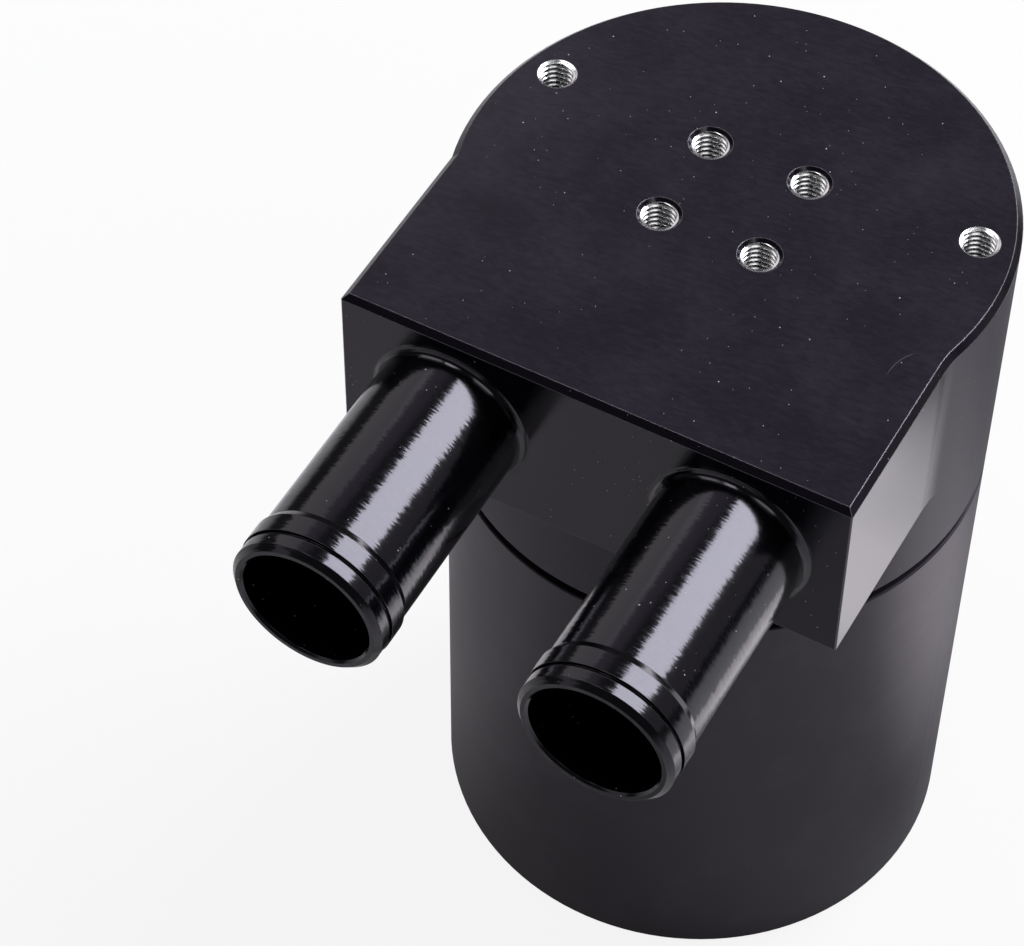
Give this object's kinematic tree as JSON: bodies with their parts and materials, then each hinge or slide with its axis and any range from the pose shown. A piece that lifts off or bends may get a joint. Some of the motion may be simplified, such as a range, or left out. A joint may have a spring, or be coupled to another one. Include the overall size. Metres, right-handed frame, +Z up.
{
  "type": "oil catch can",
  "caption": "Cylindrical oil catch can: black billet head with side-by-side hose barbs on a flat front block, screwed onto a plain round cup, baffled inside.",
  "frame": {"origin": "centre of the cup's flat base", "axes": "+Z up along the can's axis, -Y the way the hose barbs point, +X to the right when the barbs are looked at end on"},
  "size_m": [0.0888, 0.1335, 0.144],
  "materials": {
    "head": "black anodised, fine turned and milled satin",
    "cup": "black anodised, satin",
    "seal": "matte",
    "tube": "drawn tube, plain",
    "filter": "sintered bronze, rough",
    "plates": "pierced stainless sheet",
    "mesh": "knitted stainless wire",
    "rods": "plain stainless",
    "sleeves": "cut tube, plain"
  },
  "bodies": {
    "cup": {"cup": "cup"},
    "seal": {"seal_ring": "seal"},
    "head": {"head": "head", "barb_left": "head", "barb_right": "head", "drop_tube": "tube", "outlet_filter": "filter", "upper_plate": "plates", "lower_plate": "plates", "mesh_pack": "mesh", "splash_plate": "plates", "tie_rod_front": "rods", "tie_rod_right": "rods", "tie_rod_left": "rods", "upper_sleeve_front": "sleeves", "upper_sleeve_right": "sleeves", "upper_sleeve_left": "sleeves", "lower_sleeve_front": "sleeves", "lower_sleeve_right": "sleeves", "lower_sleeve_left": "sleeves", "tie_washers": "rods", "tie_nuts": "rods"}
  },
  "joints": [
    {"name": "head_rise", "type": "slide", "parent": "cup", "child": "seal", "axis": [0, 0, 1], "range_m": [0, 0.009]},
    {"name": "head_turn", "type": "hinge", "parent": "seal", "child": "head", "pos_m": [0, 0, 0.0944], "axis": [0, 0, 1], "range_deg": [0, 2160]}
  ],
  "couplings": [
    {"joint": "head_rise", "follows": "head_turn", "m_per_rad": 0.0002387}
  ]
}
